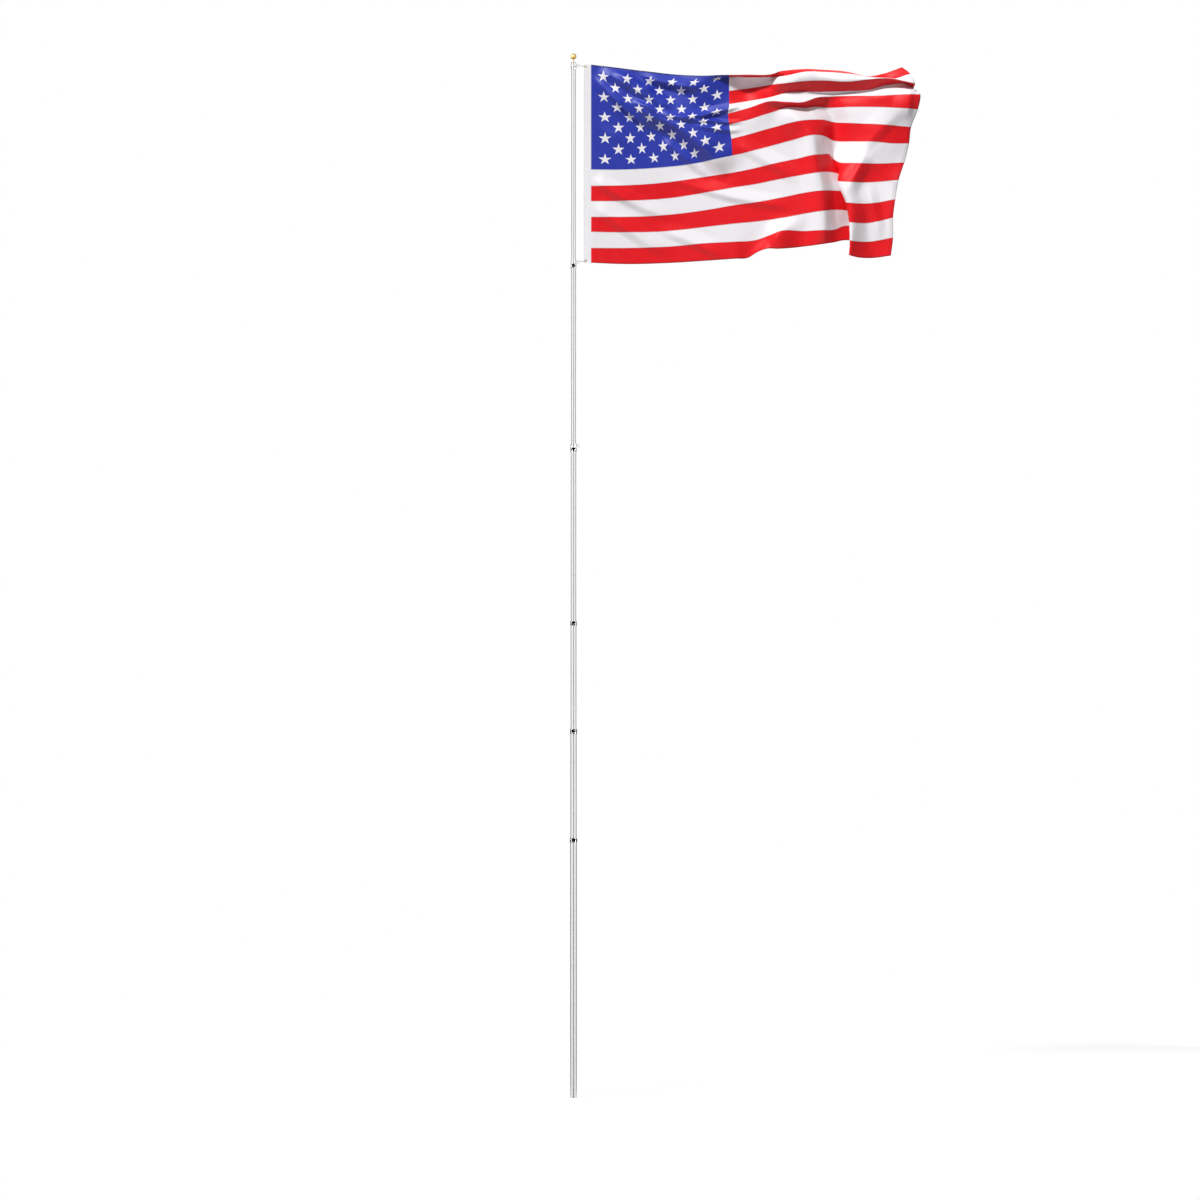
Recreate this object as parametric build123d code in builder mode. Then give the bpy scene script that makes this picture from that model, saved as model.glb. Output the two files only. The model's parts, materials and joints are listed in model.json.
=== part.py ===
"""A telescoping flagpole in six aluminium sections, with its ball finial, flag rings and flag.

Millimetres, +Z up. The origin is the middle of the base end, and the flag flies towards +X.
Section 1 stands on the ground, and each section above slides down into the one below.
"""

from build123d import *
from math import sqrt
import os

os.makedirs("parts", exist_ok=True)

# The pole
total_height = 9140.0
base_diameter = 59.0
diameter_step = 4.0
tube_wall = 1.3
tube_overlap = 120.0

# How far each joint's middle lies above the ground or above the joint below
section_1_length = 2257.0
section_2_length = 953.0
section_3_length = 945.0
section_4_length = 1522.0
section_5_length = 1608.0

# The joints: a black bush on the end of each tube, inside a clear collar
bush_height = 30.0
bush_step_in = 0.8
slide_gap = 0.3
fit_gap = 0.1
collar_wall = 3.4
collar_lip = 2.5
collar_lip_gap = 0.5
collar_grip = 5.0
collar_taper = 6.0
collar_toe = 0.8
edge_break = 0.6

# The plug in the base end
plug_floor = 4.0
plug_skirt = 25.0
plug_wall = 2.5

# The cap and the ball on top
cap_height = 10.0
cap_roof = 3.0
cap_wall = 3.0
ball_diameter = 50.8
neck_diameter = 10.8
neck_height = 8.0
neck_edge = 1.2
rod_diameter = 8.0
rod_showing = 18.2
rod_hidden = 12.0
nut_across_flats = 12.0
nut_height = 4.0

# The turning rings that carry the flag, and the stop under the top one
turn_gap = 0.6
ring_wall = 4.0
ring_height = 27.5
neck_length = 2.0
ring_neck_height = 15.0
tab_width = 24.5
tab_thickness = 6.0
tab_corner = 3.5
eye_diameter = 15.0
ring_seat_gap = 0.3
ring_top_gap = 2.0
stop_height = 18.0
stop_wall = 3.5
screw_diameter = 4.0
screw_head_diameter = 7.2
screw_head_height = 3.6
screw_socket = 3.0
screw_socket_depth = 2.0

# The snap hooks
hook_wire = 3.5
hook_width = 16.0
hook_reach = 70.0
hook_drop = 11.0
hook_gap = 0.3
gate_length = 30.0
gate_sleeve = 5.2
gate_sleeve_length = 18.0

# The flag
header_width = 65.0
header_thickness = 3.0
grommet_hole = 10.0
grommet_outer = 20.0
grommet_barrel = 1.2
grommet_flange = 0.8
grommet_inset = 18.0
cloth_thickness = 1.0
thread_count = 24

# The cloth as it flies: every second seam, from the top edge down to the bottom edge. A point is how far
# out from the hoist it lies, how far back and how far down, as shares of the hoist.
flying_seams = [
    [
        (0.0, 0.0, 0.0), (0.445, 0.012, 0.051), (0.570, 0.003, 0.057), (0.697, -0.006, 0.055),
        (0.797, -0.023, 0.055), (0.899, -0.029, 0.055), (0.979, -0.012, 0.031), (1.070, 0.006, 0.021),
        (1.170, 0.035, 0.022), (1.300, 0.035, 0.033), (1.400, 0.012, 0.055), (1.480, -0.012, 0.043),
        (1.570, -0.035, 0.011),
    ],
    [
        (0.0, 0.0, 0.151), (0.345, 0.017, 0.174), (0.571, 0.006, 0.160), (0.697, 0.017, 0.133),
        (0.797, 0.035, 0.118), (0.899, 0.006, 0.104), (0.985, -0.052, 0.097), (1.070, -0.035, 0.086),
        (1.170, 0.012, 0.081), (1.300, 0.006, 0.087), (1.400, 0.0, 0.077), (1.510, 0.012, 0.073),
        (1.630, 0.023, 0.098),
    ],
    [
        (0.0, 0.0, 0.303), (0.344, 0.017, 0.299), (0.567, 0.012, 0.278), (0.693, 0.006, 0.247),
        (0.797, 0.0, 0.218), (0.899, -0.035, 0.190), (0.985, -0.052, 0.193), (1.070, -0.035, 0.192),
        (1.210, 0.029, 0.160), (1.320, 0.012, 0.158), (1.470, -0.023, 0.159), (1.560, -0.017, 0.153),
        (1.660, -0.029, 0.152),
    ],
    [
        (0.0, 0.0, 0.454), (0.371, 0.017, 0.443), (0.575, 0.012, 0.416), (0.706, 0.012, 0.375),
        (0.797, 0.0, 0.352), (0.899, -0.012, 0.323), (1.050, -0.037, 0.288), (1.120, -0.020, 0.280),
        (1.230, 0.029, 0.287), (1.320, 0.0, 0.296), (1.440, -0.029, 0.304), (1.530, -0.023, 0.310),
        (1.610, 0.0, 0.315),
    ],
    [
        (0.0, 0.0, 0.613), (0.377, 0.017, 0.594), (0.604, 0.023, 0.561), (0.720, 0.012, 0.544),
        (0.814, 0.006, 0.526), (0.922, -0.006, 0.501), (1.050, -0.026, 0.473), (1.120, -0.043, 0.461),
        (1.220, 0.029, 0.472), (1.250, 0.012, 0.491), (1.330, -0.035, 0.499), (1.450, -0.023, 0.502),
        (1.580, -0.012, 0.495),
    ],
    [
        (0.0, 0.0, 0.769), (0.377, 0.020, 0.759), (0.604, 0.017, 0.729), (0.727, 0.012, 0.709),
        (0.843, 0.006, 0.694), (0.956, -0.006, 0.672), (1.090, -0.029, 0.647), (1.160, -0.046, 0.640),
        (1.350, 0.052, 0.659), (1.330, 0.017, 0.680), (1.300, -0.063, 0.702), (1.400, -0.023, 0.703),
        (1.530, -0.035, 0.681),
    ],
    [
        (0.0, 0.0, 1.000), (0.377, 0.020, 1.001), (0.604, 0.017, 0.987), (0.729, 0.012, 0.979),
        (0.843, 0.0, 0.945), (0.945, -0.023, 0.931), (1.080, -0.012, 0.918), (1.220, -0.017, 0.898),
        (1.400, 0.046, 0.906), (1.380, 0.006, 0.931), (1.300, -0.052, 0.963), (1.410, -0.006, 0.977),
        (1.510, -0.023, 0.966),
    ],
]

section_count = 6
section_lengths = [
    section_1_length,
    section_2_length,
    section_3_length,
    section_4_length,
    section_5_length,
]


def tube_radius(number):
    """Outer radius of a section's tube; section 1 is the lowest and the widest."""
    return (base_diameter - (number - 1) * diameter_step) / 2


def joint_height(number):
    """Height of the middle of the joint on top of a section."""
    return sum(section_lengths[:number])


cap_top = total_height - ball_diameter - neck_height - rod_showing
top_radius = tube_radius(section_count)


def export(piece, label):
    """Name a finished piece and write its STEP file."""
    piece.part.label = label
    export_step(piece.part, f"parts/{label}.step")


def tube_bottom(number):
    if number == 1:
        return 0.0
    return joint_height(number - 1) - tube_overlap


def tube_top(number):
    if number == section_count:
        return cap_top - cap_roof - fit_gap
    return joint_height(number) - bush_height / 2


def collar_top(number):
    return tube_top(number) + bush_height + fit_gap + collar_lip


def collar_bottom(number):
    return tube_top(number) - collar_grip - collar_taper


def eye_place(number, bottom):
    """The middle of a ring's eye, in the XZ plane."""
    along = tube_radius(number) + turn_gap + ring_wall + neck_length + tab_width / 2
    return along, bottom + ring_height / 2


# Where the ball sits
ball_centre = total_height - ball_diameter / 2
ball_seat = ball_centre - sqrt(ball_diameter**2 - neck_diameter**2) / 2

# Where the rings and the stop sit
upper_ring_bottom = cap_top - cap_height - ring_top_gap - ring_height
lower_ring_bottom = collar_top(section_count - 1) + ring_seat_gap
spare_ring_bottom = collar_top(section_count - 2) + ring_seat_gap
stop_bottom = upper_ring_bottom - ring_seat_gap - stop_height
stop_outer = top_radius + stop_wall
screw_height = stop_bottom + stop_height / 2
upper_eye = eye_place(section_count, upper_ring_bottom)
lower_eye = eye_place(section_count, lower_ring_bottom)

# Where the flag hangs: each hook runs out from its eye, towards the middle of the hoist
hook_run = sqrt(hook_reach**2 - hook_drop**2)
upper_grommet = (upper_eye[0] + hook_run, upper_eye[1] - hook_drop)
lower_grommet = (lower_eye[0] + hook_run, lower_eye[1] + hook_drop)
header_left = upper_grommet[0] - grommet_inset
flag_top = upper_grommet[1] + grommet_inset
flag_bottom = lower_grommet[1] - grommet_inset
flag_hoist = flag_top - flag_bottom


def make_tube(number):
    """One section's round tube, open at both ends."""
    outer = tube_radius(number)
    with BuildPart() as tube:
        with BuildSketch(Plane.XY.offset(tube_bottom(number))):
            Circle(outer)
            Circle(outer - tube_wall, mode=Mode.SUBTRACT)
        extrude(amount=tube_top(number) - tube_bottom(number))
    export(tube, f"tube_{number}")


def make_bush(number):
    """The black bush that stands on a tube's end and guides the next section."""
    inner = tube_radius(number + 1) + slide_gap
    outer = tube_radius(number) - bush_step_in
    with BuildPart() as bush:
        with BuildSketch(Plane.XY.offset(tube_top(number))):
            Circle(outer)
            Circle(inner, mode=Mode.SUBTRACT)
        extrude(amount=bush_height)
        chamfer(bush.edges().filter_by(GeomType.CIRCLE).group_by(SortBy.RADIUS)[-1], edge_break / 2)
    export(bush, f"bush_{number}")


def make_collar(number):
    """The clear collar over a joint: a lip on top, and a skirt that tapers onto the tube."""
    bore = tube_radius(number) + fit_gap
    outer = tube_radius(number) + collar_wall
    lip_bore = tube_radius(number + 1) + collar_lip_gap
    top = collar_top(number)
    lip = top - collar_lip
    grip = tube_top(number) - collar_grip
    bottom = collar_bottom(number)
    toe = tube_radius(number) + collar_toe
    with BuildPart() as collar:
        with BuildSketch(Plane.XZ):
            with BuildLine():
                Polyline(
                    (bore, bottom),
                    (toe, bottom),
                    (outer, grip),
                    (outer, top - edge_break),
                    (outer - edge_break, top),
                    (lip_bore, top),
                    (lip_bore, lip),
                    (bore, lip),
                    close=True,
                )
            make_face()
        revolve(axis=Axis.Z)
    export(collar, f"collar_{number}")


def make_base_plug():
    """The plug that closes the base end and keeps the sections in."""
    outer = tube_radius(1) - tube_wall - fit_gap
    with BuildPart() as plug:
        with BuildSketch():
            Circle(outer)
        extrude(amount=plug_floor + plug_skirt)
        with BuildSketch(Plane.XY.offset(plug_floor)):
            Circle(outer - plug_wall)
        extrude(amount=plug_skirt, mode=Mode.SUBTRACT)
    export(plug, "base_plug")


def make_top_cap():
    """The clear cap over the top tube, with the hole for the ball's rod."""
    with BuildPart() as cap:
        with BuildSketch(Plane.XY.offset(cap_top - cap_height)):
            Circle(top_radius + cap_wall)
        extrude(amount=cap_height)
        chamfer(cap.edges().filter_by(GeomType.CIRCLE).sort_by(Axis.Z)[-1], edge_break)
        with BuildSketch(Plane.XY.offset(cap_top - cap_height)):
            Circle(top_radius + fit_gap)
        extrude(amount=cap_height - cap_roof, mode=Mode.SUBTRACT)
        with Locations((0, 0, cap_top)):
            Hole(rod_diameter / 2 + fit_gap)
    export(cap, "top_cap")


def make_finial_nut():
    """The dark nut that holds the ball's rod down on the cap."""
    with BuildPart() as nut:
        with BuildSketch(Plane.XY.offset(cap_top)):
            RegularPolygon(nut_across_flats / 2, 6, major_radius=False)
            Circle(rod_diameter / 2 + fit_gap, mode=Mode.SUBTRACT)
        extrude(amount=nut_height)
    export(nut, "finial_nut")


def make_finial_stem():
    """The rod and its thicker neck, under the ball."""
    neck_bottom = cap_top + rod_showing
    with BuildPart() as stem:
        with BuildSketch(Plane.XY.offset(cap_top - rod_hidden)):
            Circle(rod_diameter / 2)
        extrude(amount=rod_hidden + rod_showing)
        with BuildSketch(Plane.XY.offset(neck_bottom)):
            Circle(neck_diameter / 2)
        extrude(amount=ball_seat - neck_bottom)
        rims = stem.edges().filter_by(GeomType.CIRCLE).filter_by_position(Axis.Z, neck_bottom, neck_bottom)
        chamfer(rims.sort_by(SortBy.RADIUS)[-1], neck_edge)
    export(stem, "finial_stem")


def make_finial_ball():
    """The gold ball, with a flat where it sits on its neck."""
    with BuildPart() as ball:
        with Locations((0, 0, ball_centre)):
            Sphere(ball_diameter / 2)
        split(bisect_by=Plane.XY.offset(ball_seat), keep=Keep.TOP)
    export(ball, "finial_ball")


def make_ring(number, bottom, label):
    """A turning ring round a section's tube, with a flat tab and its eye on the +X side."""
    bore = tube_radius(number) + turn_gap
    outer = bore + ring_wall
    tab_start = outer + neck_length
    with BuildPart() as ring:
        with BuildSketch(Plane.XY.offset(bottom)):
            Circle(outer)
        extrude(amount=ring_height)
        with BuildSketch(Plane.XZ):
            with Locations((outer + neck_length / 2, bottom + ring_height / 2)):
                Rectangle(neck_length + ring_wall, ring_neck_height)
            with Locations((tab_start + tab_width / 2, bottom + ring_height / 2)):
                RectangleRounded(tab_width, ring_height, tab_corner)
                Circle(eye_diameter / 2, mode=Mode.SUBTRACT)
        extrude(amount=tab_thickness / 2, both=True)
        with BuildSketch(Plane.XY.offset(bottom)):
            Circle(bore)
        extrude(amount=ring_height, mode=Mode.SUBTRACT)
        chamfer(ring.edges().filter_by(GeomType.CIRCLE).filter_by(ring_rim(outer)), edge_break)
    export(ring, label)


def ring_rim(radius):
    """Picks the round edges of this radius, whatever their height."""
    return lambda edge: abs(edge.radius - radius) < edge_break / 2


def make_stop_ring():
    """The sleeve under the top ring, with the hole for its screw."""
    with BuildPart() as stop:
        with BuildSketch(Plane.XY.offset(stop_bottom)):
            Circle(stop_outer)
            Circle(top_radius + fit_gap, mode=Mode.SUBTRACT)
        extrude(amount=stop_height)
        with BuildSketch(Plane.YZ):
            with Locations((0, screw_height)):
                Circle(screw_diameter / 2 + fit_gap)
        extrude(amount=stop_outer + stop_wall, mode=Mode.SUBTRACT)
    export(stop, "stop_ring")


def make_stop_screw():
    """The socket-head screw that clamps the stop on the tube."""
    with BuildPart() as screw:
        with BuildSketch(Plane.YZ.offset(top_radius + fit_gap)):
            with Locations((0, screw_height)):
                Circle(screw_diameter / 2)
        extrude(amount=stop_outer - top_radius)
        with BuildSketch(Plane.YZ.offset(stop_outer + fit_gap)):
            with Locations((0, screw_height)):
                Circle(screw_head_diameter / 2)
        extrude(amount=screw_head_height)
        with BuildSketch(Plane.YZ.offset(stop_outer + fit_gap + screw_head_height)):
            with Locations((0, screw_height)):
                RegularPolygon(screw_socket / 2, 6, major_radius=False)
        extrude(amount=-screw_socket_depth, mode=Mode.SUBTRACT)
    export(screw, "stop_screw")


def hook_plane(eye, grommet):
    """The plane of a hook's loop: x runs from the ring's eye to the flag's grommet, y across."""
    start = Vector(eye[0], 0, eye[1])
    run = Vector(grommet[0], 0, grommet[1]) - start
    return Plane(origin=start, x_dir=run, z_dir=run.cross(Vector(0, 1, 0)))


def make_hook(eye, grommet, label):
    """A snap hook: a closed loop of wire whose front side is a sprung gate with a sleeve."""
    reach = sqrt((grommet[0] - eye[0]) ** 2 + (grommet[1] - eye[1]) ** 2)
    bend = (hook_width - hook_wire) / 2
    tab_sag = bend - sqrt(bend**2 - (tab_thickness / 2) ** 2)
    near = eye_diameter / 2 - hook_wire / 2 - hook_gap - tab_sag
    grommet_sag = bend - sqrt(bend**2 - (header_thickness / 2 + grommet_flange) ** 2)
    far = reach - grommet_hole / 2 + hook_wire / 2 + hook_gap + grommet_sag
    gate_start = (near + far - gate_length) / 2
    gate_end = (near + far + gate_length) / 2
    plane = hook_plane(eye, grommet)
    with BuildPart() as hook:
        with BuildLine(plane):
            front_near = Line((gate_start, -bend), (near + bend, -bend))
            near_end = RadiusArc(front_near @ 1, (near + bend, bend), bend)
            back = Line(near_end @ 1, (far - bend, bend))
            far_end = RadiusArc(back @ 1, (far - bend, -bend), bend)
            Line(far_end @ 1, (gate_end, -bend))
        with BuildSketch(Plane(origin=front_near @ 0, z_dir=front_near % 0)):
            Circle(hook_wire / 2)
        sweep()
    export(hook, label)
    with BuildPart() as gate:
        start = plane.from_local_coords(Vector(gate_start + hook_gap, -bend, 0))
        with BuildSketch(Plane(origin=start, z_dir=plane.x_dir)):
            Circle(hook_wire / 2)
        extrude(amount=gate_length - 2 * hook_gap)
        sleeve = plane.from_local_coords(Vector((near + far - gate_sleeve_length) / 2, -bend, 0))
        with BuildSketch(Plane(origin=sleeve, z_dir=plane.x_dir)):
            Circle(gate_sleeve / 2)
        extrude(amount=gate_sleeve_length)
    export(gate, f"{label}_gate")


def make_grommet(place, label):
    """A brass grommet: a barrel through the header's hole, with a flange on each face."""
    half = header_thickness / 2 + fit_gap
    hole = grommet_hole / 2
    with BuildPart() as grommet:
        with BuildSketch(Plane.XZ):
            with Locations(place):
                Circle(hole + grommet_barrel)
        extrude(amount=half, both=True)
        for side in (1, -1):
            with BuildSketch(Plane.XZ.offset(side * half)):
                with Locations(place):
                    Circle(grommet_outer / 2)
            extrude(amount=side * grommet_flange)
        with BuildSketch(Plane.XZ):
            with Locations(place):
                Circle(hole)
        extrude(amount=half + grommet_flange, both=True, mode=Mode.SUBTRACT)
    export(grommet, label)


def make_header(upper, lower):
    """The white webbing along the hoist, with the holes for its grommets."""
    with BuildPart() as header:
        with BuildSketch(Plane.XZ):
            with Locations((header_left + header_width / 2, (flag_top + flag_bottom) / 2)):
                Rectangle(header_width, flag_top - flag_bottom)
            with Locations(upper, lower):
                Circle(grommet_hole / 2 + grommet_barrel + fit_gap, mode=Mode.SUBTRACT)
        extrude(amount=header_thickness / 2, both=True)
    export(header, "flag_header")


def make_flag():
    """The cloth as it flies: a thin sheet, lofted through upright threads that cross its seams."""
    seams = []
    for points in flying_seams:
        with BuildLine():
            seams.append(Spline(*[flag_point(*point) for point in points]))
    threads = []
    for step in range(thread_count + 1):
        with BuildLine() as thread:
            Spline(*[seam @ (step / thread_count) for seam in seams])
        threads.append(thread.wire())
    with BuildPart() as flag:
        thicken(Shell.make_loft(threads).face(), amount=cloth_thickness)
    export(flag, "flag")


def flag_point(out, back, down):
    """A point of the flying cloth, from its shares of the hoist."""
    start = header_left + header_width
    return start + flag_hoist * out, flag_hoist * back, flag_top - flag_hoist * down


for section in range(1, section_count + 1):
    make_tube(section)
for section in range(1, section_count):
    make_bush(section)
    make_collar(section)
make_base_plug()
make_top_cap()
make_finial_nut()
make_finial_stem()
make_finial_ball()
make_ring(section_count, upper_ring_bottom, "upper_ring")
make_ring(section_count, lower_ring_bottom, "lower_ring")
make_ring(section_count - 1, spare_ring_bottom, "spare_ring")
make_stop_ring()
make_stop_screw()
make_hook(upper_eye, upper_grommet, "upper_hook")
make_hook(lower_eye, lower_grommet, "lower_hook")
make_grommet(upper_grommet, "upper_grommet")
make_grommet(lower_grommet, "lower_grommet")
make_header(upper_grommet, lower_grommet)
make_flag()
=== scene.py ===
"""The looks of the telescoping flagpole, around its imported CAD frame. Metres, +Z up, seen along +Y."""
import json
import math

import bpy
import numpy as np
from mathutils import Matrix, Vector


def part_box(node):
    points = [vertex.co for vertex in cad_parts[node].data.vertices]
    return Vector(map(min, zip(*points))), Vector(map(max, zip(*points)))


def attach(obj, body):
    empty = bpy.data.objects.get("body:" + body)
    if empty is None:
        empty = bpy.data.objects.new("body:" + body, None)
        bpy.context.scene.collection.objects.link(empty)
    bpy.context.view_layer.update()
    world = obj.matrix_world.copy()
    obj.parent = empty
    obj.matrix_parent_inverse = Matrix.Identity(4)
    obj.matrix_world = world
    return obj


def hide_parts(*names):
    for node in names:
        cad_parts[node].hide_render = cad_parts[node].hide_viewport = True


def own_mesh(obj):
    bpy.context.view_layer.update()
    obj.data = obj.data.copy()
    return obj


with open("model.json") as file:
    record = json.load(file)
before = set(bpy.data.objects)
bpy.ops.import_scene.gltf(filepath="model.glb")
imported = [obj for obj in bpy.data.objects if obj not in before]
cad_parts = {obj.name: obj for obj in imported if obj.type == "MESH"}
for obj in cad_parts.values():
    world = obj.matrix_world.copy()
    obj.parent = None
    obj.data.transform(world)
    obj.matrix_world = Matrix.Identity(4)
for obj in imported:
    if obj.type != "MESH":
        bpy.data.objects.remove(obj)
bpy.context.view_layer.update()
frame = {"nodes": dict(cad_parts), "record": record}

nodes = frame["nodes"]
bpy.context.scene.view_settings.view_transform = "Standard"

# The camera: a long lens at the photograph's framing, so that the pole stands as straight as it does there
LENS = 200.0
SENSOR = 36.0
VIEW_WIDTH = 10.505
VIEW_CENTRE = (0.232, 4.357)

# The flag as it is cut
STRIPE_COUNT = 13
CANTON_SHARE = 0.4
CANTON_STRIPES = 7
HEADER_LOW, HEADER_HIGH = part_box("flag_header")
CLOTH_LEFT = HEADER_HIGH.x
CLOTH_TOP = HEADER_HIGH.z
CLOTH_HOIST = HEADER_HIGH.z - HEADER_LOW.z
CLOTH_FLY = 1.9 * CLOTH_HOIST
CLOTH_THICKNESS = 0.0008

# The stars: every second place of a grid of this many columns and rows
STAR_COLUMNS = 11
STAR_ROWS = 9
STAR_DIAMETER = 0.0616 * CLOTH_HOIST

# The sewing, in metres: felled seams, hems, the stitches, and the pitch of the weave
SEAM_WIDTH = 0.010
HEM_WIDTH = 0.012
FLY_HEM_WIDTH = 0.036
SEAM_STITCH_ROWS = [SEAM_WIDTH / 2 - 0.0015]
HEM_STITCH_ROWS = [HEM_WIDTH - 0.002]
FLY_STITCH_ROWS = [0.004, 0.014, 0.024, 0.034]
# Painted shade: the width of the dark strip painted along the canton's top edge, where the hem lies in shadow
PAINTED_EDGE_WIDTH = 0.009
STITCH_WIDTH = 0.0012
STITCH_LENGTH = 0.004
STITCH_SHARE = 0.7
CLOTH_PITCH = 0.0016

# The header strip: its woven rib, its stitch rows from each side, its round edge and the holes in it
WEBBING_PITCH = 0.0024
HEADER_STITCH_ROWS = [0.003, 0.009]
HEADER_ROUND = 0.0006
GROMMET_HOLE = 0.0062
GROMMET_SIDES = 24

# The flag's colours, how much its doubled and stitched places darken it, and how far the painted shade along
# the canton's top edge darkens it
FLAG_RED = (0.82, 0.002, 0.008)
FLAG_WHITE = (0.90, 0.87, 0.90)
FLAG_BLUE = (0.008, 0.026, 0.39)
FADING = 0.012
SHADE_TONE = (0.0, 0.0, 0.004)
DOUBLED_SHADE = 0.12
SEWN_SHADE = 0.25
PAINTED_EDGE_SHADE = 0.85

# The flag's surface: its roughness, the sheen of its stripes and of its canton, and its relief
CLOTH_ROUGHNESS = (0.44, 0.52)
CLOTH_SHEEN = (0.25, 0.5)
WEAVE_SHARE = 0.15
RELIEF_HEIGHT = 0.0004

# The header strip's tones, and those of its thread
WEBBING_TONES = (0.87, 0.85, 0.88), (0.92, 0.91, 0.93)
THREAD_TONE = (0.45, 0.44, 0.50)
THREAD_SHADE = 0.35
RIB_SHARE = 0.4

# The clear plastic's tint, and how far from the pole's middle the rings' darker tabs begin
CLEAR_TINT = (0.90, 0.905, 0.91)
TAB_TINT = (0.72, 0.725, 0.73)
TAB_FROM = 0.0268

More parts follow.
